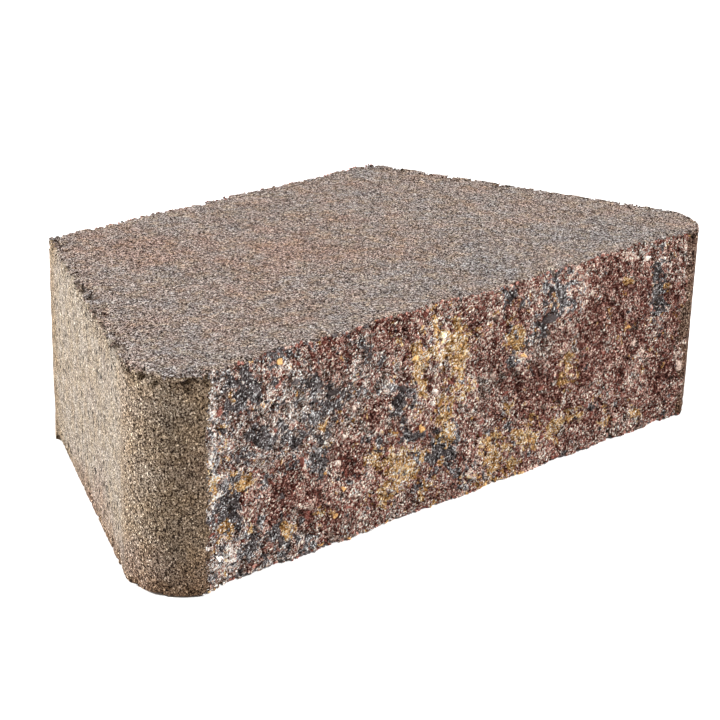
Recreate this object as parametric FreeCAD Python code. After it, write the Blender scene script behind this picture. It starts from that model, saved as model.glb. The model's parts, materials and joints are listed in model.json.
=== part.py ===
import FreeCAD, Part
import math
import os
import random
from FreeCAD import Vector

# A garden retaining wall block, dry-cast in concrete as one piece: a rough broken front, two rounded
# noses beside it, smooth sides that taper to a narrower broken back, and a lip under the back edge that
# hooks behind the course below. It is drawn with its bed level, the front along X and the back towards
# +Y, and then set down as it rests unheld: tipped forward on its front edge and its lip.
# Sizes are in millimetres.

# Plan of the mould
face_width = 270.0
block_width = 305.0
back_width = 186.0
block_depth = 171.0
nose_depth = 30.0
nose_bulge = 6.5
bend_radius = 6.0
back_corner_radius = 9.0

# Bearing face to bearing face
body_height = 89.0

# Lip under the back edge, thinner at its foot by the draft that lets it out of the mould
lip_drop = 6.0
lip_thickness = 9.0
lip_draft = 1.5

# Broken faces: how wide the chips are that splitting leaves, how deep the deepest lies, how steeply a chip
# may slope, the least that is broken away, and the seeds that the chance of each chip is drawn from
chip_width = 17.0
front_chip_depth = 2.8
back_chip_depth = 2.4
chip_slope = 0.14
least_break = 0.4
front_seed = 4
back_seed = 9

# The sheet that the block is split along is a spline surface, with this many poles across each chip
poles_per_chip = 2

# Larger hollows of a broken face: place across it (-1 left to 1 right), place up it (0 bed to 1 top),
# depth and spread
front_hollows = [
    (-0.74, 1.05, 2.6, 11.0),
    (-0.46, 0.62, 2.2, 20.0),
    (-0.78, 0.34, 1.8, 17.0),
    (-0.09, 1.05, 2.8, 15.0),
    (0.08, 0.48, 2.0, 18.0),
    (-0.22, 0.22, 1.3, 13.0),
    (0.40, 0.40, 2.8, 17.0),
    (0.66, 1.08, 3.0, 26.0),
    (0.80, 0.45, 2.0, 15.0),
]
back_hollows = [
    (-1.05, 0.85, 3.6, 34.0),
    (-0.24, 1.00, 2.4, 9.0),
    (-0.42, 0.80, 1.6, 24.0),
    (0.05, 0.85, 1.8, 14.0),
    (0.60, 0.92, 1.6, 10.0),
    (-0.55, 0.25, 2.2, 20.0),
    (0.35, 0.35, 2.8, 20.0),
    (0.80, 0.15, 1.6, 15.0),
]

# Two points closer than this are one point
same_place = 0.01


def nose_arc(side):
    """The nose's curve in plan, from the corner of the broken face back to the bend; side is 1 or -1."""
    corner = Vector(side * face_width / 2, 0, 0)
    bend = Vector(side * block_width / 2, nose_depth, 0)
    chord = bend - corner
    outward = Vector(side * chord.y, -side * chord.x, 0).normalize()
    crown = (corner + bend) / 2 + outward * nose_bulge
    return Part.Arc(corner, crown, bend)


def mould_plan():
    """The closed outline of the mould, seen from above."""
    left, right = nose_arc(-1), nose_arc(1)
    back_left = Vector(-back_width / 2, block_depth, 0)
    back_right = Vector(back_width / 2, block_depth, 0)
    outline = [
        Part.LineSegment(left.StartPoint, right.StartPoint),
        right,
        Part.LineSegment(right.EndPoint, back_right),
        Part.LineSegment(back_right, back_left),
        Part.LineSegment(back_left, left.EndPoint),
        left,
    ]
    return Part.Wire([curve.toShape() for curve in outline])


def upright_edges(solid, x, y):
    """The vertical edges of a solid that stand on the plan points (x, y) and (-x, y)."""
    found = []
    for edge in solid.Edges:
        foot, head = edge.firstVertex().Point, edge.lastVertex().Point
        upright = math.hypot(foot.x - head.x, foot.y - head.y) < same_place
        if upright and math.hypot(abs(foot.x) - x, foot.y - y) < same_place:
            found.append(edge)
    return found


def cast_column(foot, height):
    """The mould's plan raised by height from the level foot, with its bends and back corners rounded."""
    column = Part.Face(mould_plan()).extrude(Vector(0, 0, height))
    column.translate(Vector(0, 0, foot))
    bends = upright_edges(column, block_width / 2, nose_depth)
    column = column.makeFillet(bend_radius, bends)
    back_corners = upright_edges(column, back_width / 2, block_depth)
    return column.makeFillet(back_corner_radius, back_corners)


def lip():
    """The lip's section run across the back, trimmed to the mould's outline."""
    root = block_depth - lip_thickness
    section = [
        Vector(-block_width, root, 0),
        Vector(-block_width, root + lip_draft, -lip_drop),
        Vector(-block_width, block_depth, -lip_drop),
        Vector(-block_width, block_depth, 0),
    ]
    bar = Part.Face(Part.makePolygon(section + section[:1])).extrude(Vector(2 * block_width, 0, 0))
    return bar.common(cast_column(-lip_drop, lip_drop))


def chip_lattice(half_width):
    """How many chips lie across and up a broken face and past its edges, and where the first one starts."""
    margin = 2 * chip_width
    columns = math.ceil(2 * (half_width + margin) / chip_width)
    rows = math.ceil((body_height + lip_drop + 2 * margin) / chip_width)
    return columns, rows, -half_width - margin, -lip_drop - margin


def broken_chips(half_width, chip_depth, seed):
    """The chips of a broken face: each one's middle x and z, its depth behind the face, and its two slopes."""
    draw = random.Random(seed)
    columns, rows, left, foot = chip_lattice(half_width)
    chips = []
    for i in range(columns):
        for j in range(rows):
            x = left + (i + draw.random()) * chip_width
            z = foot + (j + draw.random()) * chip_width
            depth = draw.uniform(0, chip_depth)
            slopes = draw.uniform(-chip_slope, chip_slope), draw.uniform(-chip_slope, chip_slope)
            chips.append((x, z, depth) + slopes)
    return chips


def hollow_depth(x, z, half_width, hollows):
    """How far the large hollows of a broken face lie behind its plane at (x, z)."""
    inset = 0.0
    for across, up, depth, spread in hollows:
        distance = math.hypot(x - across * half_width, z - up * body_height)
        inset += depth * math.exp(-((distance / spread) ** 2))
    return inset


def chip_depth_at(x, z, chips):
    """How far the chip nearest to (x, z) lies behind the face's plane there."""
    nearest = min(chips, key=lambda chip: (x - chip[0]) ** 2 + (z - chip[1]) ** 2)
    middle_x, middle_z, depth, slope_x, slope_z = nearest
    return max(0.0, depth + slope_x * (x - middle_x) + slope_z * (z - middle_z))


def spline_sheet(poles):
    """A smooth surface that a lattice of poles pulls into shape and that never reaches past them."""
    surface = Part.BSplineSurface()
    degree = 2
    knots = [list(range(len(line) - degree + 1)) for line in (poles, poles[0])]
    mults = [[degree + 1] + [1] * (len(row) - 2) + [degree + 1] for row in knots]
    surface.buildFromPolesMultsKnots(poles, *mults, *knots, False, False, degree, degree)
    return surface.toShape()


def broken_away(plane_y, inward, half_width, hollows, chip_depth, seed):
    """What splitting takes off at the plane y = plane_y: all that lies outside a rough sheet behind it."""
    chips = broken_chips(half_width, chip_depth, seed)
    columns, rows, left, foot = chip_lattice(half_width)
    spacing = chip_width / poles_per_chip
    poles = []
    for i in range(columns * poles_per_chip + 1):
        x = left + i * spacing
        line = []
        for j in range(rows * poles_per_chip + 1):
            z = foot + j * spacing
            inset = least_break + hollow_depth(x, z, half_width, hollows)
            if abs(x) < half_width:
                inset += chip_depth_at(x, z, chips)
            line.append(Vector(x, plane_y + inward * inset, z))
        poles.append(line)
    return spline_sheet(poles).extrude(Vector(0, -inward * block_depth, 0))


def wall_block():
    """The cast block, broken off its neighbours at the front and the back."""
    block = cast_column(0, body_height).fuse(lip()).removeSplitter()
    front = broken_away(0, 1, face_width / 2, front_hollows, front_chip_depth, front_seed)
    back = broken_away(block_depth, -1, back_width / 2, back_hollows, back_chip_depth, back_seed)
    return block.cut(front).cut(back)


def set_down(block):
    """Tip the block forward on to its lip and stand it on z = 0 with the origin under its middle."""
    lip_front = block_depth - lip_thickness + lip_draft
    tip = math.degrees(math.atan2(lip_drop, lip_front))
    resting = block.copy()
    resting.rotate(Vector(0, 0, 0), Vector(1, 0, 0), tip)
    box = resting.optimalBoundingBox()
    resting.translate(Vector(-box.Center.x, -box.Center.y, -box.ZMin))
    return resting


os.makedirs("parts", exist_ok=True)
set_down(wall_block()).exportStep("parts/wall_block.step")
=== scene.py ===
import itertools
import json
import math
import random
from collections import namedtuple

import bmesh
import bpy
import numpy as np
from mathutils import Matrix, Vector
from mathutils.bvhtree import BVHTree
from mathutils.kdtree import KDTree


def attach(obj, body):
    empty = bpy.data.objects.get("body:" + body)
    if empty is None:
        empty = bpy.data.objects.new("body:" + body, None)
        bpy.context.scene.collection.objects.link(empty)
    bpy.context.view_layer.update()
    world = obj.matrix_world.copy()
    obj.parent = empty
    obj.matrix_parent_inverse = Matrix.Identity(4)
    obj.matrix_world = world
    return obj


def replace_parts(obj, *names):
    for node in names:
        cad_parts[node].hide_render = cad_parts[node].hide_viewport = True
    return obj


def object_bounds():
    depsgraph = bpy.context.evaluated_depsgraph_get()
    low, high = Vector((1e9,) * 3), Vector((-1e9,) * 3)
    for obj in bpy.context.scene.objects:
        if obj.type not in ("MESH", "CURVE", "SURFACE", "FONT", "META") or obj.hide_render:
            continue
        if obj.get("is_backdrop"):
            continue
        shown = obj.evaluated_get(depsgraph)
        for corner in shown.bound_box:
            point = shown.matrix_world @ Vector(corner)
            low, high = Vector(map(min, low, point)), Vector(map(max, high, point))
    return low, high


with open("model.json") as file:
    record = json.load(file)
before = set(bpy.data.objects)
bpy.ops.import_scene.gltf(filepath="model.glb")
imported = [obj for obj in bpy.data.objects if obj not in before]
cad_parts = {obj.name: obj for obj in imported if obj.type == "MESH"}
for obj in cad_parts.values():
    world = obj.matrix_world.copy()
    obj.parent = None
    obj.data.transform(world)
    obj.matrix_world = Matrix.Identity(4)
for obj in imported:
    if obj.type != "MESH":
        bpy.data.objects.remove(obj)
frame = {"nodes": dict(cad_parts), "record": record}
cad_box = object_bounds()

# The looks of the retaining wall block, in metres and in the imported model's frame. The block's surface is the
# CAD solid's, divided into small cells, roughened face by face as broken or cast concrete is, and thinned to
# the triangles that its relief needs. Stones and grains of the aggregate lie in the two broken faces, and
# crumbs along the worn arrises and the edges of the broken faces. Places on the block are given in its own
# level drawing: x across, y back from the broken front, z up from the bed.

MM = 0.001

# Camera: the photograph's viewing angle, on a picture this many pixels wide and high
CAMERA_AZIMUTH = -41.5
CAMERA_ELEVATION = 20.2
CAMERA_DISTANCE = 834.4 * MM
CAMERA_TARGET = Vector((-8.2, -24.7, 46.6)) * MM
CAMERA_LENS = 97.7
PHOTO_SIDE = 720

# Block
FACE_HALF_WIDTH = 135 * MM
BACK_HALF_WIDTH = 93 * MM
BODY_DEPTH = 171 * MM
BODY_HEIGHT = 89 * MM
NOSE_END = 38 * MM

# Faces of the block, and what tells them apart: how much of a face's direction has to be upright, forward or
# back, and how far back the broken front ends and the broken back starts
FRONT, BACK, TOP, BED, SIDE = range(5)
UPRIGHT_PART, FRONT_PART, BACK_PART = 0.9, 0.5, 0.7
FRONT_END, BACK_START = 20 * MM, 150 * MM
# The cells of the surface, the triangles that stay, and how readily each face gives its own up, from 0 to 1
CELL = 0.65 * MM
BLOCK_TRIANGLES = 194000
SPARE = np.array([0.0, 0.7, 0.65, 1.0, 0.75])
SPARE_AT_ARRIS = 0.15

# Broken faces: where each one's plane is in y, which way is inward, and half its width
BROKEN_FACES = [(0.0, 1, FACE_HALF_WIDTH), (BODY_DEPTH, -1, BACK_HALF_WIDTH)]
# Chips of a broken face: how wide they are, how far they stand out or in, and the seed of their chance
BREAKS = [(6.0 * MM, 1.0 * MM, 13), (2.6 * MM, 0.8 * MM, 15)]
LEAST_BREAK = 0.9 * MM
# How much lighter they are for how far they stand out, and darker for how far they sink: partly crushed grain,
# partly painted light on the peaks and painted shade in the hollows
RELIEF_LIGHT_AND_SHADE = 0.8 / MM
# How far behind and beside a broken face its push fades out
BREAK_FADE, BESIDE_FADE = (5 * MM, 15 * MM), (0, 2 * MM)
# Where the broken front meets the noses: how far in from the mould's corner, how far that line strays, and
# the size of its bends
FRONT_INSET, FRONT_STRAY, STRAY_SIZE = 1.2 * MM, 1.4 * MM, 5 * MM
# Chips lost from the long edges of the broken faces: how wide they are, their share in the loss and their
# seed; the loss between chips, and how high a loss of 1 is
EDGE_CHIPS = [(4.0 * MM, 0.7, 17), (1.8 * MM, 0.5, 18)]
EDGE_LEAST = 0.1
EDGE_LOSS = 3.0 * MM
# How far behind the face and within the edge that loss fades out, and how slowly it changes towards the back
EDGE_BEHIND, EDGE_WITHIN, EDGE_PACE = (2.5 * MM, 7 * MM), (1 * MM, 6 * MM), 0.4
# Grains of a cast face: how wide they are, how far they stand out, and the seed of their chance
CAST_GRAINS = [(3.0 * MM, 0.34 * MM, 21), (1.6 * MM, 0.2 * MM, 22)]
# The skin that they lie in, and how much of them shows on the top and on the sides
CAST_SKIN = 0.2 * MM
TOP_GRAIN, SIDE_GRAIN = 0.8, 0.2
# Worn arrises: how far the wear reaches, how deep it goes, and how wide the lost chips are
WEAR_REACH = 4.8 * MM
WEAR_DEPTH = 3.4 * MM
WEAR_CHIP = 3.2 * MM
# The least wear, the share of the chips and of slow drifts in it, the most, and its part on the lower arrises
WEAR_LEAST, WEAR_CHIPPING, WEAR_DRIFT, WEAR_MOST, WEAR_BELOW = 0.1, 2.1, 0.8, 1.2, 0.4
# How wide the slow drifts of wear and of pigment are
DRIFT = 18 * MM


def level_axes(record):
    """The block's own axes across, back and up, as rows, and the middle of its bed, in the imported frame."""
    mounts = {mount["name"]: mount for mount in record["mounts"]}
    up = Vector(mounts["top"]["axis"]).normalized()
    across = Vector((1, 0, 0))
    return np.array([across, up.cross(across), up]), np.array(mounts["bed"]["pos_m"])


def mesh_points(mesh):
    """The places of a mesh's vertices, one row each."""
    flat = np.empty(3 * len(mesh.vertices), np.float32)
    mesh.vertices.foreach_get("co", flat)
    return flat.reshape(-1, 3).astype(float)


def mesh_normals(mesh):
    """The directions of a mesh's vertices, one row each."""
    flat = np.empty(3 * len(mesh.vertices), np.float32)
    mesh.vertex_normals.foreach_get("vector", flat)
    return flat.reshape(-1, 3).astype(float)


CAD_NODE = frame["nodes"]["wall_block"]
AXES, BED_MIDDLE = level_axes(frame["record"])
LEVEL_ORIGIN = BED_MIDDLE + ((mesh_points(CAD_NODE.data) - BED_MIDDLE) @ AXES[1]).min() * AXES[1]


def to_level(points):
    """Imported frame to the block's level drawing."""
    return (points - LEVEL_ORIGIN) @ AXES.T


def from_level(points):
    """The block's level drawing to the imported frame."""
    return points @ AXES + LEVEL_ORIGIN


def inside_cad_box(points):
    """The points, with any that stand out of the CAD model's box brought back to it."""
    low, high = (np.array(corner) for corner in cad_box)
    return np.clip(points, low, high)


# Chance patterns

HASH_BITS = np.uint64(0xFFFFFFFF)
HASH_STEPS = [np.uint64(value) for value in (0x9E3779B1, 0x85EBCA6B, 0xC2B2AE35, 0x27D4EB2F)]

# A chip: how much it tilts and steps, and how deep and how wide the crevice round it is
CHIP_TILT, CHIP_STEP, CREVICE_DEPTH, CREVICE_WIDTH = 0.9, 1.1, 0.45, 0.16
# A lump: how wide it is, and how deep the deepest socket of a lost one is
LUMP_WIDTH, SOCKET_DEPTH = 0.8, 0.9


def hashed(cells, seed):
    """A repeatable 32-bit chance number for each row of three whole numbers."""
    mixed = np.full(len(cells), np.uint64(seed + 1) * HASH_STEPS[3] & HASH_BITS, np.uint64)
    for axis in range(3):
        column = cells[:, axis].astype(np.int64).view(np.uint64) & HASH_BITS
        mixed = (mixed ^ (column * HASH_STEPS[axis] & HASH_BITS)) & HASH_BITS
        mixed = ((mixed ^ (mixed >> np.uint64(15))) * HASH_STEPS[1]) & HASH_BITS
        mixed = ((mixed ^ (mixed >> np.uint64(13))) * HASH_STEPS[2]) & HASH_BITS
    return mixed ^ (mixed >> np.uint64(16))


def shares(numbers):
    """Three chance values from 0 to 1 out of each 32-bit number."""
    return np.stack([(numbers >> np.uint64(shift)) & np.uint64(1023) for shift in (0, 10, 20)], 1) / 1023.0


def nearest_grain(points, size, seed):
    """Grains on a shaken lattice: the distances to the nearest two, the offset from the nearest and three
    chance values of its own."""
    home = np.floor(points / size).astype(np.int64)
    gaps = np.full((len(points), 2), np.inf)
    offset = np.zeros_like(points)
    owner = np.zeros_like(home)
    for step in itertools.product((-1, 0, 1), repeat=3):
        cell = home + np.array(step)
        gap = points - (cell + shares(hashed(cell, seed))) * size
        distance = np.sqrt(np.einsum("ij,ij->i", gap, gap))
        closer = distance < gaps[:, 0]
        gaps[:, 1] = np.where(closer, gaps[:, 0], np.minimum(gaps[:, 1], distance))
        gaps[closer, 0] = distance[closer]
        offset[closer] = gap[closer]
        owner[closer] = cell[closer]
    return gaps, offset, shares(hashed(owner, seed + 101))


def chips(points, size, seed):
    """Flat-topped chips of chance tilt and height with a crevice round each, from about -1 to 1."""
    gaps, offset, marks = nearest_grain(points, size, seed)
    tilted = ((2 * marks - 1) * offset).sum(1) / size
    crevice = np.exp(-((gaps[:, 1] - gaps[:, 0]) / (CREVICE_WIDTH * size)) ** 2)
    return CHIP_TILT * tilted + CHIP_STEP * (marks[:, 1] - 0.5) - CREVICE_DEPTH * crevice


def lumps(points, size, seed):
    """Rounded grains and the sockets of lost ones, from about -1 to 1."""
    gaps, _, marks = nearest_grain(points, size, seed)
    dome = np.clip(1 - (gaps[:, 0] / (LUMP_WIDTH * size)) ** 2, 0, 1)
    return dome * (2 * marks[:, 0] - SOCKET_DEPTH)


def clouds(points, size, seed, octaves=3):
    """Smooth chance clouds, from about -1 to 1."""
    total = np.zeros(len(points))
    strength = 1.0
    for octave in range(octaves):
        place = points / size
        home = np.floor(place).astype(np.int64)
        part = place - home
        ease = part * part * (3 - 2 * part)
        value = np.zeros(len(points))
        for corner in itertools.product((0, 1), repeat=3):
            weight = np.ones(len(points))
            for axis in range(3):
                weight *= ease[:, axis] if corner[axis] else 1 - ease[:, axis]
            value += weight * (shares(hashed(home + np.array(corner), seed + octave))[:, 0] * 2 - 1)
        total += strength * value
        strength *= 0.5
        size *= 0.5
    return total


def fading(values, start, end):
    """1 below start, 0 above end and smooth between."""
    part = np.clip((values - start) / (end - start), 0, 1)
    return 1 - part * part * (3 - 2 * part)


# The block's surface

def face_of(level_centre, level_normal):
    """Which face of the block a place with that direction belongs to, in the level drawing."""
    across, back, _ = level_centre
    if abs(level_normal[2]) > UPRIGHT_PART:
        return TOP if level_normal[2] > 0 else BED
    if level_normal[1] < -FRONT_PART and abs(across) < FACE_HALF_WIDTH and back < FRONT_END:
        return FRONT
    if level_normal[1] > BACK_PART and back > BACK_START:
        return BACK
    return SIDE


def point_tree(points):
    """A tree that finds the nearest of the points."""
    tree = KDTree(len(points))
    for i, place in enumerate(points):
        tree.insert(place, i)
    tree.balance()
    return tree


def cad_surface(node):
    """The CAD node's triangles as a tree, the face of the block that each belongs to, and points along two
    kinds of edges: the arrises, where the sides meet the top and the bed, and the brinks of broken faces."""
    solid = bmesh.new()
    solid.from_mesh(node.data)
    bmesh.ops.remove_doubles(solid, verts=solid.verts, dist=0.001 * MM)
    bmesh.ops.triangulate(solid, faces=solid.faces)
    faces = [face_of(to_level(np.array(tri.calc_center_median())), AXES @ np.array(tri.normal))
             for tri in solid.faces]
    arris, brinks = [], []
    for edge in solid.edges:
        meeting = {faces[tri.index] for tri in edge.link_faces}
        start, end = (vert.co for vert in edge.verts)
        count = max(1, math.ceil((end - start).length / CELL))
        along = [start.lerp(end, i / count) for i in range(count)]
        if meeting in ({TOP, SIDE}, {BED, SIDE}):
            arris += along
        elif meeting in ({FRONT, TOP}, {FRONT, BED}, {BACK, TOP}):
            brinks += along
    triangles = BVHTree.FromBMesh(solid)
    solid.free()
    return triangles, np.array(faces), arris, brinks


def baked(holder):
    """The mesh that an object's modifiers make; the object itself goes."""
    depsgraph = bpy.context.evaluated_depsgraph_get()
    mesh = bpy.data.meshes.new_from_object(
        holder.evaluated_get(depsgraph), preserve_all_data_layers=True, depsgraph=depsgraph)
    bpy.data.objects.remove(holder)
    return mesh


def divided(node):
    """A copy of the CAD node's closed surface, in cells of one size."""
    holder = bpy.data.objects.new("dividing", node.data.copy())
    bpy.context.collection.objects.link(holder)
    cells = holder.modifiers.new("cells", "REMESH")
    cells.mode = "VOXEL"
    cells.voxel_size = CELL
    return baked(holder)


def thinned(mesh, triangles, spare):
    """The mesh with about that many triangles; most go where spare, 0 to 1 at a vertex, is high."""
    holder = bpy.data.objects.new("thinning", mesh)
    bpy.context.collection.objects.link(holder)
    group = holder.vertex_groups.new(name="spare")
    for weight in np.unique(spare):
        group.add(np.flatnonzero(spare == weight).tolist(), float(weight), "REPLACE")
    thin = holder.modifiers.new("thin", "DECIMATE")
    thin.ratio = triangles / (2 * len(mesh.polygons))
    thin.use_collapse_triangulate = True
    thin.vertex_group = group.name
    thin.vertex_group_factor = 1.0
    return baked(holder)


def add_values(mesh, name, values):
    """A number at each vertex, which a material can read by its name."""
    mesh.attributes.new(name, "FLOAT", "POINT").data.foreach_set("value", values.astype(np.float32))


def values_of(mesh, name):
    """The numbers that add_values wrote."""
    flat = np.empty(len(mesh.vertices), np.float32)
    mesh.attributes[name].data.foreach_get("value", flat)
    return flat


def broken_push(level):
    """How far the breaking of the front and the back pushes each place along y, and the relief that it shows,
    which tints it: partly crushed grain, partly painted light on the peaks and painted shade in the hollows.
    Places behind a broken face go with it, less and less, so that the arrises stay closed."""
    push, relief = np.zeros(len(level)), np.zeros(len(level))
    for plane, inward, half_width in BROKEN_FACES:
        behind = inward * (level[:, 1] - plane)
        beside = np.abs(level[:, 0]) - half_width
        share = fading(behind, *BREAK_FADE) * fading(beside, *BESIDE_FADE)
        near = np.flatnonzero(share > 0)
        sheet = level[near] * [1, 0, 1] + [0, plane, 0]
        proud = sum(height * chips(sheet, size, seed) for size, height, seed in BREAKS)
        push[near] = inward * np.clip(LEAST_BREAK - proud, 0, None) * share[near]
        relief[near] = RELIEF_LIGHT_AND_SHADE * proud
    return push, relief


def chipped_edges(level):
    """How far the chipping of the broken faces' long edges pushes each place along z, and where it reaches.
    The lip keeps its foot."""
    push, reached = np.zeros(len(level)), np.zeros(len(level), bool)
    for (plane, inward, _), (edge, up) in itertools.product(BROKEN_FACES, ((0.0, 1), (BODY_HEIGHT, -1))):
        if inward < 0 and up > 0:
            continue
        behind, within = inward * (level[:, 1] - plane), up * (level[:, 2] - edge)
        share = fading(behind, *EDGE_BEHIND) * fading(np.abs(within), *EDGE_WITHIN)
        near = np.flatnonzero(share > 0)
        row = level[near] * [1, EDGE_PACE, 0] + [0, 0, edge]
        loss = sum((part * chips(row, size, seed) for size, part, seed in EDGE_CHIPS), EDGE_LEAST)
        push[near] += up * EDGE_LOSS * np.clip(loss, 0, None) * share[near]
        reached[near] = True
    return push, reached


def cast_sinking(level, face, reach):
    """How deep a cast face lies behind the mould's, for its grain and its arrises' wear, and that wear."""
    grain = sum(height * lumps(level, size, seed) for size, height, seed in CAST_GRAINS)
    depth = np.clip(CAST_SKIN - np.where(face == TOP, TOP_GRAIN, SIDE_GRAIN) * grain, 0, None)
    near = np.exp(-(reach / WEAR_REACH) ** 2)
    loss = WEAR_LEAST + WEAR_CHIPPING * chips(level, WEAR_CHIP, 32) + WEAR_DRIFT * clouds(level, DRIFT, 31)
    wear = near * np.clip(loss, 0, WEAR_MOST) * np.where(level[:, 2] > BODY_HEIGHT / 2, 1.0, WEAR_BELOW)
    return depth + WEAR_DEPTH * wear, np.clip(wear, 0, 1)


def block_mesh(triangles, tri_faces, arris):
    """The block's mesh: the CAD surface roughened face by face."""
    mesh = divided(CAD_NODE)
    points, normals = mesh_points(mesh), mesh_normals(mesh)
    level = to_level(points)
    face = tri_faces[[triangles.find_nearest(place)[2] for place in points]]
    ragged = FRONT_STRAY * clouds(level * [0, 0, 1], STRAY_SIZE, 35)
    face[(face == FRONT) & (np.abs(level[:, 0]) > FACE_HALF_WIDTH - FRONT_INSET + ragged)] = SIDE
    tree = point_tree(arris)
    reach = np.array([tree.find(place)[2] for place in points])
    broken = (face == FRONT) | (face == BACK)
    push, relief = broken_push(level)
    sunk, worn = cast_sinking(level, face, reach)
    sunk[broken] = worn[broken] = 0
    chipped, reached = chipped_edges(level)
    points += push[:, None] * AXES[1] + chipped[:, None] * AXES[2] - normals * sunk[:, None]
    mesh.vertices.foreach_set("co", inside_cad_box(points).astype(np.float32).ravel())
    mesh.update()
    add_values(mesh, "broken", broken.astype(float))
    add_values(mesh, "top", (face == TOP).astype(float))
    add_values(mesh, "relief", relief)
    add_values(mesh, "worn", worn)
    spare = np.where((reach < 1.5 * WEAR_REACH) & ~broken & (face != BED), SPARE_AT_ARRIS, SPARE[face])
    spare[reached] = 0
    return thinned(mesh, BLOCK_TRIANGLES, spare)


# Pigments, and painted shade

# Clouds of pigment, at the pixels of the photograph where they are seen: across, down, and half the cloud's
# width and height
OCHRE_CLOUDS = [
    (444, 333, 10, 12), (460, 350, 22, 28), (470, 375, 8, 35), (452, 420, 12, 35), (520, 340, 9, 20),
    (573, 368, 11, 23), (495, 445, 14, 12), (530, 440, 14, 14), (560, 430, 14, 10), (580, 420, 10, 8),
    (636, 283, 7, 4), (476, 390, 8, 8), (425, 375, 9, 40), (405, 470, 30, 28), (380, 460, 8, 16),
    (293, 534, 7, 8), (327, 515, 11, 6), (230, 530, 8, 7), (215, 478, 5, 22), (247, 487, 12, 12),
    (385, 500, 12, 10), (610, 425, 10, 6), (640, 415, 8, 6),
]
CHARCOAL_CLOUDS = [
    (565, 299, 23, 27), (510, 297, 11, 12), (666, 292, 9, 41), (447, 455, 18, 24), (595, 407, 6, 5),
    (250, 392, 24, 20), (405, 402, 12, 19), (320, 386, 15, 8), (325, 467, 14, 10), (236, 508, 18, 28),
    (255, 545, 8, 20), (270, 440, 16, 10), (420, 440, 14, 7), (370, 350, 8, 10), (300, 440, 10, 10),
    (545, 330, 12, 10),
]
PALE_CLOUDS = [
    (215, 470, 6, 70), (590, 298, 7, 22), (640, 260, 12, 8), (522, 358, 6, 4), (235, 560, 10, 16),
    (310, 420, 20, 10),
]
MAROON_CLOUDS = [
    (317, 505, 55, 28), (384, 415, 10, 15), (620, 330, 40, 34), (560, 400, 40, 30), (660, 380, 30, 40),
    (350, 460, 20, 20), (607, 375, 30, 32), (632, 285, 30, 22),
]
ROSY_CLOUDS = [(150, 250, 90, 22), (290, 250, 90, 22)]
SLATE_CLOUDS = [(400, 281, 34, 14), (480, 262, 50, 18), (590, 236, 70, 14)]
# The faces that they lie on: the axis across the face in the level drawing, and where the face is along it
CLOUDED = {FRONT: (1, 0.0), TOP: (2, BODY_HEIGHT)}
CLOUD_REACH = 25 * MM
# How wide stray patches and the ragged edges of clouds are
PATCH, RAG = 26 * MM, 6 * MM
# Light veins in the broken faces: how far apart and how wide they are, how much they are drawn out upwards,
# and how they lean
VEIN_GAP, VEIN_WIDTH = 13 * MM, 0.25
VEIN_STRETCH = 0.3
VEIN_LEAN = 0.3
# Clumps of one hue: their two sizes with the seeds of their chance, how far their edges stray, and the size
# of the bends in them
CLUMPS = [(4.5 * MM, 95), (1.9 * MM, 96)]
CLUMP_STRAY, CLUMP_RAG = 1.2 * MM, 3 * MM
# Where pigments fade out, in millimetres across: the grey left part of the front, the strip beside its left
#  nose, the stain on that nose, and where the darker, redder right part, rust with painted shade on the right
#  nose, has not begun
LEFT_PART, NOSE_STRIP, STAIN_ACROSS, BEFORE_RUST_AND_SHADE = (-95, -30), (-130, -112), (-125, -112), (40, 110)
# Up: the stain. Back: the shade on the noses, upright and slanting, and their brown
STAIN_UP = (2, 26)
SHADE_BACK, SHADE_SLANTING, SLANT = (2, 28), (2, 30), 0.12
NOSE_BACK = (NOSE_END / MM - 8, NOSE_END / MM)
# Warm strips on the sides, along the bed and the back corner: how wide they are, and where the second starts
WARM_WIDTH, WARM_BACK = 9, 151


def photo_line(across, down):
    """The line of sight through a pixel of the photograph: where it starts and its direction."""
    camera = bpy.context.scene.camera
    focus = PHOTO_SIDE * camera.data.lens / camera.data.sensor_width
    seen = Vector((across - PHOTO_SIDE / 2, PHOTO_SIDE / 2 - down, -focus))
    return camera.location, camera.matrix_world.to_3x3() @ seen


def seen_on(face, across, down):
    """Where on a face the line of sight through a pixel meets it, in the level drawing."""
    axis, plane = CLOUDED[face]
    start, direction = photo_line(across, down)
    start, direction = to_level(np.array(start)), AXES @ np.array(direction)
    return start + direction * (plane - start[axis]) / direction[axis]


def cloud_values(level, face, spots, seed, stray):
    """How much of a pigment lies at each place: the spots seen on a face, ragged at their edges, and chance
    patches, which are fewer where stray is higher."""
    axis, plane = CLOUDED[face]
    flat = [other for other in range(3) if other != axis]
    near = np.abs(level[:, axis] - plane) < CLOUD_REACH
    total = 0.9 * clouds(level, PATCH, seed) - stray
    for across, down, half_across, half_down in spots:
        middle = seen_on(face, across, down)
        ends = seen_on(face, across + half_across, down), seen_on(face, across, down + half_down)
        halves = np.array([end - middle for end in ends])[:, flat]
        away = np.linalg.norm((level - middle)[:, flat] @ np.linalg.inv(halves), axis=1)
        total = np.maximum(total, np.where(near, 1.3 - 0.95 * away, -1))
    return np.clip(total + 0.4 * clouds(level, RAG, seed + 7), 0, 1)


def veins(level):
    """Light veins of a broken face, from 0 to 1."""
    leaning = level * [1, 1, VEIN_STRETCH] - level[:, 2:] * [VEIN_LEAN, 0, 0]
    return np.clip(1 - np.abs(clouds(leaning, VEIN_GAP, 58, octaves=2)) / VEIN_WIDTH, 0, 1)


def clump_hue(level):
    """A chance hue from 0 to 1, the same throughout a clump of the mix."""
    push = np.stack([clouds(level, CLUMP_RAG, seed, octaves=2) for seed in (91, 92, 93)], 1)
    ragged = level + CLUMP_STRAY * push
    large, small = (nearest_grain(ragged, size, seed)[2] for size, seed in CLUMPS)
    return np.where(small[:, 0] < 0.5, small[:, 1], large[:, 1])


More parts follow.
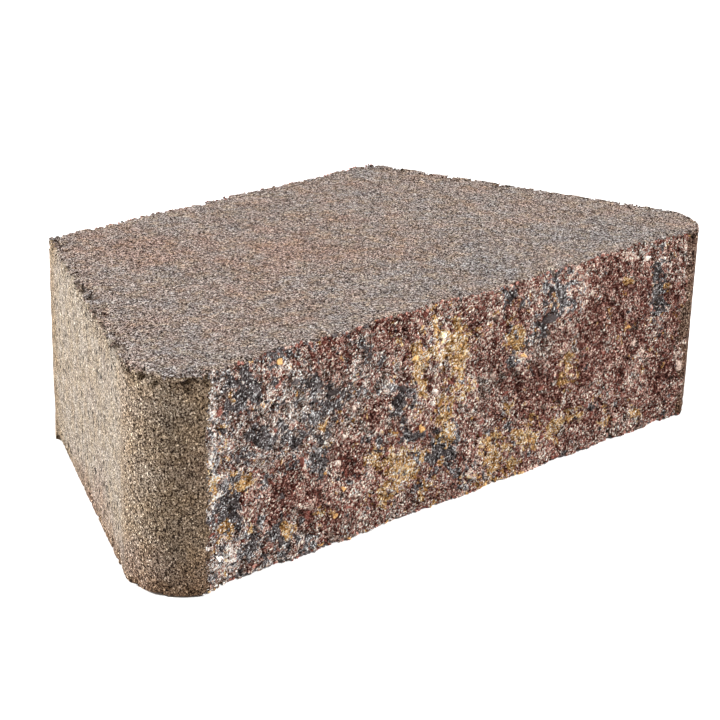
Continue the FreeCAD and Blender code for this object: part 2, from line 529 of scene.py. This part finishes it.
def pigments(level):
    """How much of each pigment lies at each place, from 0 to 1, with the painted shade on the noses and the
    rust and painted shade on the right. Pale and rosy go below 0 where a face is darker or more like slate."""
    x, y, z = (level / MM).T
    left = fading(x, *LEFT_PART)
    maroon = cloud_values(level, FRONT, MAROON_CLOUDS, 56, stray=0.3)
    grey = 0.52 * left + 0.35 * fading(x, *NOSE_STRIP) + 0.08 + 0.5 * clouds(level, DRIFT, 65)
    pale = cloud_values(level, FRONT, PALE_CLOUDS, 51, stray=0.55)
    charcoal = cloud_values(level, FRONT, CHARCOAL_CLOUDS, 61, stray=0.5)
    rosy = cloud_values(level, TOP, ROSY_CLOUDS, 76, stray=0.6)
    slate = cloud_values(level, TOP, SLATE_CLOUDS, 77, stray=0.6)
    stained = fading(z, *STAIN_UP) * fading(x, *STAIN_ACROSS)
    # Darker and redder on the right: partly rust, partly painted shade on the right nose; the stain on the left
    # nose adds to it
    rust_and_shade = 1 - fading(x, *BEFORE_RUST_AND_SHADE) + 0.6 * stained + 0.3 * clouds(level, DRIFT, 66)
    warm = np.maximum(1 - z / WARM_WIDTH, (y - WARM_BACK) / WARM_WIDTH) + 0.5 * clouds(level, 9 * MM, 75)
    return {
        "ochre": cloud_values(level, FRONT, OCHRE_CLOUDS, 41, stray=0.45),
        "charcoal": np.clip(charcoal + 0.3 * left - 0.3 * maroon, 0, 1),
        "pale": pale + 0.7 * veins(level) - 0.5 * maroon - 0.3 + 0.15 * left,
        "ash": np.clip(grey - 0.9 * maroon, 0, 1),
        "rosy": rosy - slate,
        "shade": fading(y, *SHADE_BACK) * fading(y + SLANT * z, *SHADE_SLANTING),
        "rust_and_shade": np.clip(rust_and_shade, 0, 1),
        "nose": fading(y + 4 * clouds(level, 12 * MM, 71), *NOSE_BACK),
        "warm": np.clip(warm, 0, 1),
    }


# Materials

# How bright the studio light makes white paint on each face, the whitest paint there is, and its gloss
FRONT_LIGHT = 0.7
TOP_LIGHT = 1.5
SIDE_LIGHT = 1.02
WHITEST = 0.95
GLOSS = 0.08
CAST_ROUGHNESS = 0.92


def linear(red, green, blue):
    """A colour of the screen, 0 to 255, as the light that it stands for."""
    channels = [value / 255 for value in (red, green, blue)]
    return [c / 12.92 if c <= 0.04045 else ((c + 0.055) / 1.055) ** 2.4 for c in channels] + [1.0]


def paint(stops, light):
    """Ramp stops of the colours that the photograph shows, as the paint that looks so in that light."""
    painted = []
    for place, colour in stops:
        painted.append((place, [min(WHITEST, c / light) for c in linear(*colour)[:3]] + [1.0]))
    return painted


class Shader:
    """A material's nodes, added one call at a time; each call gives the socket that the next one reads."""

    def __init__(self, name):
        self.material = bpy.data.materials.new(name)
        self.material.use_nodes = True
        self.tree = self.material.node_tree
        self.tree.nodes.clear()
        self.place = self.node("TexCoord").outputs["Object"]

    def node(self, kind, inputs=(), **settings):
        """A node with those settings, and with values or sockets at those inputs."""
        made = self.tree.nodes.new("ShaderNode" + kind)
        for key, value in settings.items():
            setattr(made, key, value)
        for key, value in dict(inputs).items():
            if isinstance(value, bpy.types.NodeSocket):
                self.tree.links.new(value, made.inputs[key])
            else:
                made.inputs[key].default_value = value
        return made

    def math(self, operation, first, second=0.0, third=0.0):
        """Arithmetic on numbers."""
        return self.node("Math", {0: first, 1: second, 2: third}, operation=operation).outputs[0]

    def scaled(self, value, factor, offset=0.0):
        """A number times a factor, plus an offset."""
        return self.math("MULTIPLY_ADD", value, factor, offset)

    def blend(self, share, first, second):
        """A number between two others."""
        return self.node("Mix", {0: share, 2: first, 3: second}).outputs[0]

    def number(self, name):
        """The mesh's number of that name."""
        return self.node("Attribute", attribute_name=name).outputs["Fac"]

    def noise(self, size, detail=3.0, roughness=0.6):
        """Soft noise of that size."""
        inputs = {"Vector": self.place, "Scale": 1 / size, "Detail": detail, "Roughness": roughness}
        return self.node("TexNoise", inputs).outputs["Fac"]

    def shaken(self, size, reach):
        """Places pushed about by noise of that size, as far as reach, which makes grains there ragged."""
        push = self.node("TexNoise", {"Vector": self.place, "Scale": 1 / size, "Detail": 1.0})
        inputs = {0: push.outputs["Color"], 1: (0.5, 0.5, 0.5)}
        middle = self.node("VectorMath", inputs, operation="SUBTRACT").outputs[0]
        inputs = {0: middle, 1: (2 * reach, 2 * reach, 2 * reach), 2: self.place}
        return self.node("VectorMath", inputs, operation="MULTIPLY_ADD").outputs[0]

    def drawn_out(self, place, scale, lean=0.0):
        """Places in a frame that leans in the face, where grains come out longer or shorter by that scale."""
        inputs = {"Vector": place, "Rotation": (0, lean, 0), "Scale": scale}
        return self.node("Mapping", inputs, vector_type="TEXTURE").outputs[0]

    def grains(self, size, place, to_edge=False):
        """Grains of one size: how far each one's middle is, or its edge, and its own chance value."""
        inputs = {"Vector": place, "Scale": 1 / size}
        cells = self.node("TexVoronoi", inputs)
        chance = self.node("SeparateColor", {"Color": cells.outputs["Color"]}).outputs[0]
        if to_edge:
            cells = self.node("TexVoronoi", inputs, feature="DISTANCE_TO_EDGE")
        return cells.outputs["Distance"], chance

    def ramp(self, value, stops):
        """A colour read off a row of stops."""
        made = self.node("ValToRGB", {"Fac": value})
        elements = made.color_ramp.elements
        while len(elements) < len(stops):
            elements.new(1.0)
        for element, (place, colour) in zip(elements, stops):
            element.position = place
            element.color = colour
        return made.outputs["Color"]

    def between(self, value, low, high):
        """0 below low, 1 above high and smooth between."""
        inputs = {"Value": value, "From Min": low, "From Max": high}
        return self.node("MapRange", inputs, interpolation_type="SMOOTHSTEP").outputs["Result"]

    def mix(self, share, first, second, mode="MIX"):
        """A colour between two others, or one laid over the other."""
        return self.node("Mix", {0: share, 6: first, 7: second}, data_type="RGBA", blend_type=mode).outputs[2]

    def tinted(self, colour, value, dark, share=1.0):
        """The colour, multiplied by dark where value is 0 and left alone where it is 1."""
        tint = self.ramp(value, [(0, linear(*dark)), (1, linear(255, 255, 255))])
        return self.mix(share, colour, tint, "MULTIPLY")

    def without(self, name):
        """1 where the mesh's number of that name is 0, and 0 where it is 1."""
        return self.scaled(self.number(name), -1.0, 1.0)

    def bump(self, height, depth, strength, under=None):
        """The surface's direction with a height laid over it."""
        inputs = {"Height": height, "Distance": depth, "Strength": strength}
        if under:
            inputs["Normal"] = under
        return self.node("Bump", inputs).outputs["Normal"]

    def finish(self, colour, roughness, normal):
        """The material, with these at its surface; open-grained concrete has little gloss."""
        inputs = {"Base Color": colour, "Roughness": roughness, "Normal": normal, "Specular IOR Level": GLOSS}
        surface = self.node("BsdfPrincipled", inputs)
        self.node("OutputMaterial", {"Surface": surface.outputs[0]})
        return self.material


# Colours from dark to light, as the photograph shows them
SAND = [(0.0, (34, 9, 5)), (0.25, (76, 38, 31)), (0.5, (114, 71, 62)), (0.7, (150, 106, 95)),
        (0.85, (194, 150, 136)), (1.0, (255, 206, 190))]
ASH = [(0.0, (32, 21, 15)), (0.25, (72, 57, 49)), (0.5, (112, 94, 85)), (0.7, (150, 131, 120)),
       (0.85, (194, 174, 160)), (1.0, (255, 228, 210))]
OCHRE = [(0.0, (58, 30, 8)), (0.25, (110, 75, 38)), (0.5, (156, 118, 74)), (0.7, (194, 155, 106)),
         (0.85, (230, 197, 150)), (1.0, (255, 242, 216))]
CHARCOAL = [(0.0, (24, 18, 16)), (0.25, (54, 47, 46)), (0.5, (82, 75, 75)), (0.7, (110, 103, 102)),
            (0.85, (148, 141, 139)), (1.0, (232, 225, 221))]
TOP_CLOUDS = [(0.32, linear(238, 243, 250)), (0.5, linear(250, 245, 243)), (0.7, linear(255, 234, 226))]
TOP_GRAINS = [(0.0, (14, 4, 1)), (0.15, (58, 40, 32)), (0.33, (118, 100, 92)), (0.5, (170, 153, 145)),
              (0.68, (222, 207, 198)), (0.88, (255, 250, 242))]
SIDE_GRAINS = [(0.0, (34, 23, 14)), (0.1, (66, 54, 43)), (0.24, (112, 101, 90)), (0.7, (154, 144, 132)),
               (0.94, (184, 174, 161)), (1.0, (228, 219, 206))]
NOSE_GRAINS = [(0.0, (34, 22, 13)), (0.12, (76, 62, 49)), (0.3, (119, 105, 91)), (0.75, (152, 137, 121)),
               (0.95, (186, 171, 154)), (1.0, (238, 224, 205))]
# Darker and redder for the right part: rust, partly painted shade on the right nose
RUST_AND_SHADE_GRAINS = [(0.0, (30, 15, 10)), (0.16, (62, 42, 34)), (0.35, (100, 77, 68)), (0.7, (138, 114, 103)),
               (0.94, (182, 158, 145)), (1.0, (236, 218, 203))]
# Tints of a cast face: painted shade in its gaps and pits and on the noses, and its colour where it is worn and
# in its clouds and strips
TOP_GAP_SHADE, TOP_WORN, TOP_GOLD = (56, 41, 34), (196, 178, 154), (255, 247, 232)
SIDE_GAP_SHADE, SIDE_PIT, SIDE_WORN, SIDE_CLOUD = (66, 54, 44), (50, 38, 29), (222, 208, 188), (253, 246, 234)
NOSE_GAP_SHADE, NOSE_SHADE, WARM_STRIP = (190, 178, 166), (226, 218, 210), (242, 231, 216)
# Flakes of a broken face: how they lean, and how much thinner and longer than grains they are
FLAKE_LEAN = math.radians(42)
FLAKE_SCALE = (0.7, 1, 2.0)
# Grains of the sides are drawn out upright by the mould
UPRIGHT_SCALE = (0.85, 0.85, 1.5)
# Sizes of what shows on a broken face: shards, dust and small stones; and of the specks on a stone
SHARD, DUST, SMALL_STONE, SPECK = 0.52 * MM, 0.36 * MM, 2.4 * MM, 0.4 * MM
# On a cast face: dust, the grains of the top and the sides, and how far apart the large pits are
CAST_DUST, TOP_SIZE, SIDE_SIZE, SIDE_PITS = 0.4 * MM, 1.4 * MM, 1.2 * MM, 4.2 * MM
# How grains are made ragged: the size of the noise that pushes their edges about, and how far it pushes
BROKEN_RAG, CAST_RAG, STONE_RAG = (1.0 * MM, 0.5 * MM), (1.2 * MM, 0.45 * MM), (1.0 * MM, 0.4 * MM)


def broken_colour(shader, tone):
    """The colour of a grain of that tone, from dark to light. Its clump's hue and the pigments there choose
    the kind: sand, ash, charcoal or ochre."""
    hue = shader.number("hue")
    tone = shader.scaled(shader.number("pale"), 0.3, tone)
    tone = shader.scaled(shader.number("ochre"), 0.1, tone)
    other = shader.math("FRACT", shader.scaled(hue, 7.0))
    grey = shader.math("LESS_THAN", other, shader.scaled(shader.number("ash"), 0.8, 0.15))
    colour = shader.mix(grey, shader.ramp(tone, paint(SAND, FRONT_LIGHT)),
                        shader.ramp(tone, paint(ASH, FRONT_LIGHT)))
    dark = shader.math("GREATER_THAN", hue, shader.scaled(shader.number("charcoal"), -0.75, 0.97))
    calm = shader.scaled(tone, 0.8, 0.1)
    deep = shader.scaled(shader.number("charcoal"), -0.16, calm)
    colour = shader.mix(dark, colour, shader.ramp(deep, paint(CHARCOAL, FRONT_LIGHT)))
    golden = shader.math("LESS_THAN", hue, shader.scaled(shader.number("ochre"), 0.8, 0.04))
    return shader.mix(golden, colour, shader.ramp(calm, paint(OCHRE, FRONT_LIGHT)))


def broken_material():
    """Broken concrete: shards of sand and small stones in clouds of pigment, lighter on the peaks and darker in
    the hollows (partly crushed grain, partly painted light and shade), with light flecks that are partly
    painted glints.
    """
    shader = Shader("broken_concrete")
    ragged = shader.shaken(*BROKEN_RAG)
    flaky = shader.drawn_out(ragged, FLAKE_SCALE, FLAKE_LEAN)
    far, tone_shard = shader.grains(SHARD, flaky)
    far_dust, dust = shader.grains(DUST, flaky)
    edge, tone_stone = shader.grains(SMALL_STONE, ragged, to_edge=True)
    stone = shader.math("MULTIPLY", shader.math("GREATER_THAN", edge, 0.08),
                        shader.math("GREATER_THAN", tone_stone, 0.8))
    tone = shader.blend(stone, shader.scaled(tone_shard, 0.9, 0.05), shader.scaled(tone_stone, 2.8, -1.9))
    tone = shader.scaled(dust, 0.9, shader.math("SUBTRACT", tone, 0.5))
    # Light flecks: pale grains, partly painted glints; they are glossier too
    fleck_and_glint = shader.math("GREATER_THAN", dust, 0.88)
    glint = shader.math("MAXIMUM", shader.scaled(shader.number("pale"), 0.5, 0.5), 0.1)
    tone = shader.math("MULTIPLY_ADD", fleck_and_glint, glint, tone)
    # Lighter on the peaks, darker in the hollows: partly crushed grain, partly painted light and shade
    tone = shader.scaled(shader.number("relief"), 0.2, tone)
    normal = shader.bump(shader.scaled(far, -0.7, tone_shard), 0.7 * MM, 1.0)
    normal = shader.bump(shader.scaled(far_dust, -0.7, dust), 0.4 * MM, 1.0, normal)
    return shader.finish(broken_colour(shader, tone), shader.scaled(fleck_and_glint, -0.4, 0.9), normal)


def aggregate_material():
    """Stones and grains of the aggregate: each of one tone and hue, faintly clouded and specked."""
    shader = Shader("aggregate")
    far, speck = shader.grains(SPECK, shader.shaken(*STONE_RAG))
    cloud = shader.noise(1.5 * MM)
    tone = shader.scaled(speck, 0.4, shader.math("SUBTRACT", shader.number("tone"), 0.4))
    tone = shader.scaled(cloud, 0.4, tone)
    normal = shader.bump(cloud, 0.6 * MM, 0.9)
    normal = shader.bump(shader.scaled(far, -0.6, speck), 0.2 * MM, 0.8, normal)
    return shader.finish(broken_colour(shader, tone), shader.scaled(cloud, 0.4, 0.55), normal)


def cast_pits(shader, spacing, place, share):
    """Pits of a cast face, of which that share is open: 0 in those, 1 elsewhere; shade is painted where it is
    0.
    """
    away, chance = shader.grains(spacing, place)
    closed = shader.math("GREATER_THAN", chance, share)
    return shader.math("MAXIMUM", shader.between(away, 0.12, 0.32), closed)


def cast_grains(shader, place, size, rough):
    """The close grains of a cast face: how light each is, the gaps and pits between them, where shade is
    painted (0 there, 1 elsewhere), and the direction of their domed tops, which stand out more where rough is
    higher."""
    edge, tone = shader.grains(size, place, to_edge=True)
    fine_edge, fine_tone = shader.grains(0.45 * size, place, to_edge=True)
    far, dust = shader.grains(CAST_DUST, place)
    tone = shader.scaled(tone, 0.1, shader.scaled(fine_tone, 0.45, shader.scaled(dust, 0.85, -0.2)))
    closed = shader.between(shader.noise(0.7 * size, 1.0), 0.43, 0.5)
    fine_closed = shader.between(shader.noise(0.45 * size, 1.0), 0.42, 0.49)
    gaps = shader.math("MAXIMUM", shader.between(edge, 0.02, 0.2), closed)
    fine_gaps = shader.math("MAXIMUM", shader.between(fine_edge, 0.03, 0.26), fine_closed)
    gaps = shader.math("MINIMUM", gaps, fine_gaps)
    gaps = shader.math("MINIMUM", gaps, cast_pits(shader, 1.8 * size, place, 0.4))
    normal = shader.bump(shader.between(edge, 0.0, 0.25), 0.05 * size, rough)
    normal = shader.bump(shader.between(fine_edge, 0.0, 0.3), 0.1 * size, rough, normal)
    normal = shader.bump(shader.scaled(far, -1.0, dust), 0.2 * MM, rough, normal)
    return tone, gaps, normal


def cast_top_material():
    """The cast top: close grains in faint grey, reddish and golden clouds, with painted shade in the gaps
    between them.
    """
    shader = Shader("cast_top")
    tone, gaps, normal = cast_grains(shader, shader.shaken(*CAST_RAG), TOP_SIZE, rough=1.0)
    colour = shader.ramp(tone, paint(TOP_GRAINS, TOP_LIGHT))
    cloud = shader.scaled(shader.number("rosy"), 0.16, shader.noise(14 * MM, 5.0, roughness=0.7))
    colour = shader.mix(1.0, colour, shader.ramp(cloud, TOP_CLOUDS), "MULTIPLY")
    golden = shader.between(shader.noise(6 * MM, 4.0, roughness=0.7), 0.46, 0.62)
    colour = shader.tinted(colour, shader.scaled(golden, -1.0, 1.0), TOP_GOLD)
    # Painted shade in the gaps and pits between the grains
    colour = shader.tinted(colour, gaps, TOP_GAP_SHADE)
    colour = shader.tinted(colour, shader.without("worn"), TOP_WORN)
    return shader.finish(colour, CAST_ROUGHNESS, normal)


def cast_side_material():
    """The cast sides and noses: a tight, pitted skin, dragged upright by the mould, browner on the noses,
    darker and redder on the right (partly rust, partly painted shade), with painted shade in its gaps and pits
    and on the noses.
    """
    shader = Shader("cast_side")
    upright = shader.drawn_out(shader.shaken(*CAST_RAG), UPRIGHT_SCALE)
    tone, gaps, normal = cast_grains(shader, upright, SIDE_SIZE, rough=0.55)
    colour = shader.mix(shader.number("nose"), shader.ramp(tone, paint(SIDE_GRAINS, SIDE_LIGHT)),
                        shader.ramp(tone, paint(NOSE_GRAINS, SIDE_LIGHT)))
    # The darker, redder right part: partly rust, partly painted shade
    colour = shader.mix(shader.number("rust_and_shade"), colour, shader.ramp(tone, paint(RUST_AND_SHADE_GRAINS, SIDE_LIGHT)))
    cloud = shader.noise(9 * MM, 5.0, roughness=0.7)
    colour = shader.tinted(colour, shader.between(cloud, 0.38, 0.6), SIDE_CLOUD)
    # Painted shade on the noses, towards the broken front
    colour = shader.tinted(colour, shader.without("shade"), NOSE_SHADE)
    colour = shader.tinted(colour, shader.without("warm"), WARM_STRIP)
    # Painted shade in the gaps and pits, deeper on the noses
    colour = shader.tinted(colour, gaps, SIDE_GAP_SHADE)
    colour = shader.tinted(colour, gaps, NOSE_GAP_SHADE, shader.number("nose"))
    # Painted shade in the large pits of the sides
    pits = cast_pits(shader, SIDE_PITS, upright, 0.8)
    colour = shader.tinted(colour, pits, SIDE_PIT, shader.without("nose"))
    colour = shader.tinted(colour, shader.without("worn"), SIDE_WORN)
    return shader.finish(colour, CAST_ROUGHNESS, normal)


def floor_material():
    """A pale studio floor with a faint grain."""
    shader = Shader("studio_floor")
    cloud = shader.noise(60 * MM, 4.0)
    colour = shader.ramp(cloud, [(0.3, linear(243, 243, 242)), (0.7, linear(248, 248, 247))])
    return shader.finish(colour, 0.6, shader.bump(shader.noise(4 * MM), 0.05 * MM, 0.2))


# Aggregate

# A stone: where it lies and which way is out there, its width and height, its turn in the face, and its hue
# and tone, both from 0 to 1; no number for the hue stands for that of the clump it lies in
Stone = namedtuple("Stone", "place out width height turn hue tone")
OCHRE_HUE, PLAIN_HUE, DARK_HUE = 0.0, 0.43, 1.0
CLUMP_HUE = math.nan

# Stones that stand out in the photograph: the pixel they are seen at, and width and height in millimetres
PALE_STONES = [
    (311, 506, 4.6, 5.2), (345, 436, 4.1, 2.6), (353, 408, 4.1, 4.2), (337, 464, 3.6, 3.9),
    (219, 558, 4.2, 3.8), (248, 440, 3.3, 1.4), (492, 376, 5.0, 4.1), (409, 395, 2.7, 2.2),
    (645, 259, 8.0, 2.8), (633, 343, 3.6, 4.9), (642, 352, 3.2, 3.4), (678, 364, 5.0, 6.0),
    (619, 281, 6.0, 2.4), (435, 392, 4.5, 2.6), (432, 403, 3.4, 3.5), (443, 334, 4.2, 3.4),
    (415, 358, 4.4, 2.4), (671, 286, 2.4, 2.2), (457, 368, 3.6, 2.2),
]
OCHRE_STONES = [
    (423, 429, 4.2, 4.9), (343, 488, 3.7, 3.0), (334, 516, 5.2, 2.6), (318, 546, 6.2, 2.4),
    (627, 328, 4.2, 3.4), (280, 362, 3.6, 3.2), (524, 356, 3.6, 2.8),
]
DARK_STONES = [
    (551, 318, 10.0, 5.9), (405, 387, 6.5, 3.9), (281, 496, 3.4, 3.8), (330, 390, 7.0, 6.0),
    (295, 382, 4.5, 4.0),
]
# Their hues and tones, and how far chance changes their tone and turns them
PHOTO_STONES = [(PALE_STONES, PLAIN_HUE, 0.74), (OCHRE_STONES, OCHRE_HUE, 0.6), (DARK_STONES, DARK_HUE, 0.42)]
TONE_STRAY, TURN_STRAY = 0.1, 0.25
# Chance stones and grains: how many, their sizes, the share of them on front and back, and their tones
STONES_PER_FACE = 450
STONE_SIZES = (1.3 * MM, 3.0 * MM)
GRAINS_PER_FACE = 8000
GRAIN_SIZES = (0.45 * MM, 1.3 * MM)
FACE_SHARES = (1.0, 0.6)
CHANCE_TONES = (0.2, 0.58)
# Crumbs along the arrises and the brinks: how many, how small and how large they are, how much of a gap one
# fills, and their tones
CRUMBS = 2200
CRUMB_SIZES = (0.7 * MM, 2.6 * MM)
CRUMB_FILL = 0.8
ARRIS_TONES, BRINK_TONES = (0.1, 0.6), (0.2, 0.85)
# Shapes of stones and grains: how many there are, the points each is made of, and how far out these lie
SHAPES = 40
STONE_POINTS, GRAIN_POINTS = 13, 8
POINT_RADII = (0.42, 0.56)
# How thick a stone is for its smaller side, and how deep its middle lies for its thickness
STONE_THICKNESS, STONE_DEPTH = 0.8, 0.15


def stone_shapes(points, seed):
    """Angular stones, about 1 across: (corners, triangles) of hulls round chance points near a ball."""
    draw = np.random.default_rng(seed)
    shapes = []
    for _ in range(SHAPES):
        hull = bmesh.new()
        for direction in draw.normal(size=(points, 3)):
            hull.verts.new(direction / np.linalg.norm(direction) * draw.uniform(*POINT_RADII))
        bmesh.ops.convex_hull(hull, input=hull.verts)
        inside = [vert for vert in hull.verts if not vert.link_faces]
        bmesh.ops.delete(hull, geom=inside, context="VERTS")
        hull.verts.index_update()
        shapes.append((np.array([vert.co for vert in hull.verts]),
                       np.array([[vert.index for vert in tri.verts] for tri in hull.faces])))
        hull.free()
    return shapes


def chance_line(draw, inward, half_width):
    """A line that meets a broken face squarely, at a chance place on it."""
    across, up = draw.uniform(-half_width, half_width), draw.uniform(0, BODY_HEIGHT)
    start = from_level(np.array([across, BODY_DEPTH / 2 - inward, up]))
    return Vector(start), Vector(inward * AXES[1])


def photo_stones(tree, draw):
    """The stones that stand out in the photograph."""
    for stones, hue, tone in PHOTO_STONES:
        for across, down, width, height in stones:
            place, out, _, _ = tree.ray_cast(*photo_line(across, down))
            yield Stone(place, out, width * MM, height * MM, draw.uniform(-TURN_STRAY, TURN_STRAY), hue,
                        tone + draw.uniform(-TONE_STRAY, TONE_STRAY))


def chance_stones(tree, draw, face, count, sizes):
    """Stones scattered over a broken face, most of them small, long and thin."""
    _, inward, half_width = face
    small, large = sizes
    for _ in range(count):
        place, out, _, _ = tree.ray_cast(*chance_line(draw, inward, half_width))
        size = small + (large - small) * draw.random() ** 3
        stone = Stone(place, out, size * draw.uniform(1.0, 2.0), size * draw.uniform(0.6, 1.0),
                      draw.uniform(0, math.pi), CLUMP_HUE, draw.uniform(*CHANCE_TONES))
        if place is not None:
            yield stone


def edge_crumbs(tree, draw, edges, hues, tones):
    """Crumbs where edges are worn away, none larger than the gap that it lies in."""
    small, large = CRUMB_SIZES
    for _ in range(CRUMBS):
        place, out, _, gap = tree.find_nearest(draw.choice(edges))
        size = min(large, CRUMB_FILL * gap) * draw.uniform(0.6, 1.0)
        if size > small:
            yield Stone(place, out, size * draw.uniform(1.0, 1.4), size, draw.uniform(0, math.pi),
                        draw.choice(hues), draw.uniform(*tones))


def aggregate_piece(name, stones, shapes, material, seed):
    """Stones half sunk in the block's surface, as one piece."""
    draw = random.Random(seed)
    corners, triangles = [], []
    total = 0
    for stone in stones:
        shape, tris = shapes[draw.randrange(len(shapes))]
        spin = np.array(Matrix.Rotation(draw.uniform(0, 2 * math.pi), 3, "Y"))
        turn = np.array(Matrix.Rotation(stone.turn, 3, "Y"))
        thick = STONE_THICKNESS * min(stone.width, stone.height)
        middle = np.array(stone.place) - STONE_DEPTH * thick * np.array(stone.out)
        corners.append((shape @ spin.T * [stone.width, thick, stone.height]) @ turn.T @ AXES + middle)
        triangles.append(tris + total)
        total += len(shape)
    counts = [len(part) for part in corners]
    mesh = bpy.data.meshes.new(name)
    mesh.from_pydata(inside_cad_box(np.concatenate(corners)).tolist(), [], np.concatenate(triangles).tolist())
    level = to_level(np.array([stone.place for stone in stones]))
    values = pigments(level)
    hues = np.array([stone.hue for stone in stones])
    values["hue"] = np.where(np.isnan(hues), clump_hue(level), hues)
    values["tone"] = np.array([stone.tone for stone in stones])
    for key, per_stone in values.items():
        add_values(mesh, key, np.repeat(per_stone, counts))
    mesh.materials.append(material)
    return added_piece(name, mesh)


def added_piece(name, mesh):
    """A piece of the block, riding on its one body."""
    piece = bpy.data.objects.new(name, mesh)
    bpy.context.collection.objects.link(piece)
    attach(piece, "root")
    return piece


def build_block(triangles, tri_faces, arris):
    """The block itself, with a material for each kind of face; its mesh."""
    mesh = block_mesh(triangles, tri_faces, arris)
    level = to_level(mesh_points(mesh))
    for key, values in pigments(level).items():
        add_values(mesh, key, values)
    add_values(mesh, "hue", clump_hue(level))
    mesh.materials.clear()
    for material in (cast_side_material(), cast_top_material(), broken_material()):
        mesh.materials.append(material)
    first = np.array([poly.vertices[0] for poly in mesh.polygons])
    broken, top = values_of(mesh, "broken")[first], values_of(mesh, "top")[first]
    index = np.where(broken > 0.5, 2, np.where(top > 0.5, 1, 0))
    mesh.polygons.foreach_set("material_index", index.astype(np.int32))
    mesh.polygons.foreach_set("use_smooth", np.ones(len(mesh.polygons), bool))
    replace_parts(added_piece("block", mesh), "wall_block")
    return mesh


def build_aggregate(mesh, arris, brinks):
    """The stones and grains of the broken faces, and the crumbs along the upper arrises and the brinks."""
    tree = BVHTree.FromPolygons(mesh_points(mesh).tolist(), [poly.vertices[:] for poly in mesh.polygons])
    draw = random.Random(81)
    material = aggregate_material()
    shapes = stone_shapes(STONE_POINTS, 82)
    grain_shapes = stone_shapes(GRAIN_POINTS, 83)
    stones = list(photo_stones(tree, draw))
    for face, share in zip(BROKEN_FACES, FACE_SHARES):
        stones += chance_stones(tree, draw, face, int(share * STONES_PER_FACE), STONE_SIZES)
    aggregate_piece("stones", stones, shapes, material, 84)
    for name, face, share in zip(("front_grains", "back_grains"), BROKEN_FACES, FACE_SHARES):
        grains = list(chance_stones(tree, draw, face, int(share * GRAINS_PER_FACE), GRAIN_SIZES))
        aggregate_piece(name, grains, grain_shapes, material, 85)
    upper = [place for place in arris if to_level(np.array(place))[2] > BODY_HEIGHT / 2]
    crumbs = list(edge_crumbs(tree, draw, upper, (PLAIN_HUE,), ARRIS_TONES))
    crumbs += edge_crumbs(tree, draw, brinks, (CLUMP_HUE,), BRINK_TONES)
    aggregate_piece("arris_crumbs", crumbs, shapes, material, 86)


# Studio

FLOOR_HALF = 6.0
SKY_STRENGTH = 0.44
# Lights: the direction they come from, how far away and how wide they are, and their power
KEY_LIGHT = ((-0.65, 0.65, 0.42), 2.4, 0.5, 145)
FILL_LIGHT = ((0.4, -0.65, 0.75), 2.4, 0.5, 80)


def build_floor():
    """A plain pale floor."""
    mesh = bpy.data.meshes.new("studio_floor")
    corners = [(-FLOOR_HALF, -FLOOR_HALF, 0), (FLOOR_HALF, -FLOOR_HALF, 0), (FLOOR_HALF, FLOOR_HALF, 0),
               (-FLOOR_HALF, FLOOR_HALF, 0)]
    mesh.from_pydata(corners, [], [(0, 1, 2, 3)])
    mesh.materials.append(floor_material())
    floor = bpy.data.objects.new("studio_floor", mesh)
    bpy.context.collection.objects.link(floor)
    floor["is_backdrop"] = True


def area_light(name, direction, distance, size, power):
    """A round soft light that faces the block."""
    light = bpy.data.lights.new(name, "AREA")
    light.shape = "DISK"
    light.size = size
    light.energy = power
    lamp = bpy.data.objects.new(name, light)
    lamp.location = Vector(direction).normalized() * distance
    lamp.rotation_euler = (-lamp.location).to_track_quat("-Z", "Y").to_euler()
    bpy.context.collection.objects.link(lamp)


def build_light():
    """A key light from the left and behind, a fill from the right and above, and a pale sky."""
    world = bpy.data.worlds.new("studio")
    world.use_nodes = True
    sky = world.node_tree.nodes["Background"]
    sky.inputs["Color"].default_value = (1, 1, 1, 1)
    sky.inputs["Strength"].default_value = SKY_STRENGTH
    bpy.context.scene.world = world
    area_light("key", *KEY_LIGHT)
    area_light("fill", *FILL_LIGHT)


def build_camera():
    """A camera at the photograph's viewing angle."""
    azimuth, elevation = math.radians(CAMERA_AZIMUTH), math.radians(CAMERA_ELEVATION)
    level = math.cos(elevation)
    back = Vector((math.sin(azimuth) * level, -math.cos(azimuth) * level, math.sin(elevation)))
    camera = bpy.data.objects.new("camera", bpy.data.cameras.new("camera"))
    camera.data.lens = CAMERA_LENS
    camera.location = CAMERA_TARGET + back * CAMERA_DISTANCE
    camera.rotation_euler = back.to_track_quat("Z", "Y").to_euler()
    bpy.context.collection.objects.link(camera)
    bpy.context.scene.camera = camera
    bpy.context.view_layer.update()


build_camera()
cad_triangles, cad_faces, cad_arris, cad_brinks = cad_surface(CAD_NODE)
block = build_block(cad_triangles, cad_faces, cad_arris)
build_aggregate(block, cad_arris, cad_brinks)
build_floor()
build_light()
bpy.context.scene.view_settings.view_transform = "Standard"
[[list(corner) for corner in box] for box in (cad_box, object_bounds())]
